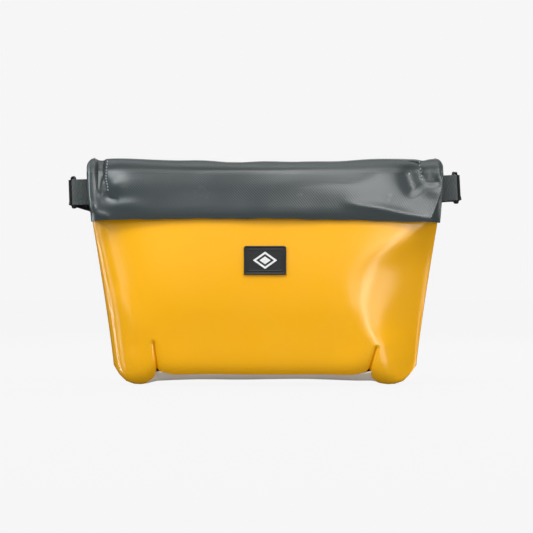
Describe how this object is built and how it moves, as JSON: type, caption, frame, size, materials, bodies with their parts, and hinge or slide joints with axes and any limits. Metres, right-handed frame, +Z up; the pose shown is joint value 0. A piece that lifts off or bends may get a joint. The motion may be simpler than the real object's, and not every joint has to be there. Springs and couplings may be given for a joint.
{
  "type": "tail bag",
  "caption": "Fold-over tail bag of coated tarpaulin with a boxed lid, side tabs with metal rings and a lash strap with a side-release buckle behind.",
  "frame": {"origin": "centre of the bounding box on the surface that the bag stands on", "axes": "+X across the width towards the bag's right as seen from the front, +Y from the front to the back, +Z up"},
  "size_m": [0.3865, 0.0952, 0.2195],
  "materials": {
    "tarpaulin_yellow": "smooth glossy PVC-coated tarpaulin, amber yellow",
    "tarpaulin_grey": "semi-gloss PVC-coated tarpaulin, slate grey, fine diagonal weave",
    "tarpaulin_light": "matt PVC-coated tarpaulin, light warm grey",
    "board_black": "matt black polyethylene sheet",
    "hook_and_loop": "black hook-and-loop tape",
    "label_rubber": "matt moulded rubber, charcoal",
    "label_print": "matt white moulded rubber",
    "webbing_grey": "grey polyester webbing",
    "webbing_black": "black polyester webbing",
    "ring_dark": "glossy dark coated wire",
    "buckle_plastic": "satin black acetal"
  },
  "bodies": {
    "bag": {"front_panel": "tarpaulin_yellow", "back_panel": "tarpaulin_grey", "base_panel": "tarpaulin_light", "base_board": "board_black", "mouth_hem_front": "tarpaulin_grey", "mouth_hem_back": "tarpaulin_grey", "seam_tape_left": "tarpaulin_grey", "seam_tape_right": "tarpaulin_grey", "loop_strip": "hook_and_loop", "label_patch": "label_rubber", "label_emblem": "label_print", "tab_left": "webbing_grey", "tab_right": "webbing_grey", "keeper_left": "webbing_grey", "keeper_right": "webbing_grey", "strap_left": "webbing_black", "strap_right": "webbing_black", "buckle_female": "buckle_plastic"},
    "lid": {"lid_panel": "tarpaulin_grey", "lid_hem": "tarpaulin_grey", "lid_stiffener": "board_black", "hook_strip": "hook_and_loop"},
    "ring_left": {"ring_left": "ring_dark", "strap_end_left": "webbing_black"},
    "ring_right": {"ring_right": "ring_dark", "strap_end_right": "webbing_black"},
    "buckle_male": {"buckle_male": "buckle_plastic", "strap_tail": "webbing_black"},
    "prong_upper": {"prong_upper": "buckle_plastic"},
    "prong_lower": {"prong_lower": "buckle_plastic"}
  },
  "joints": [
    {"name": "lid_open", "type": "hinge", "parent": "bag", "child": "lid", "pos_m": [0, 0.022, 0.214], "axis": [-1, 0, 0], "range_deg": [0, 180]},
    {"name": "ring_left_swing", "type": "hinge", "parent": "bag", "child": "ring_left", "pos_m": [-0.186, 0, 0.188], "axis": [0.0349, 0, -0.9994], "range_deg": [-60, 20]},
    {"name": "ring_right_swing", "type": "hinge", "parent": "bag", "child": "ring_right", "pos_m": [0.185, 0, 0.1925], "axis": [-0.0523, 0, 0.9986], "range_deg": [-60, 20]},
    {"name": "buckle_release", "type": "slide", "parent": "bag", "child": "buckle_male", "axis": [1, 0, 0], "range_m": [0, 0.03]},
    {"name": "prong_upper_squeeze", "type": "hinge", "parent": "buckle_male", "child": "prong_upper", "pos_m": [0.0022, 0.0425, 0.174], "axis": [0, -1, 0], "range_deg": [0, 8], "stiffness_Nm_per_rad": 0.5},
    {"name": "prong_lower_squeeze", "type": "hinge", "parent": "buckle_male", "child": "prong_lower", "pos_m": [0.0022, 0.0425, 0.156], "axis": [0, 1, 0], "range_deg": [0, 8], "stiffness_Nm_per_rad": 0.5}
  ],
  "couplings": [
    {"joint": "prong_lower_squeeze", "follows": "prong_upper_squeeze", "ratio": 1}
  ]
}
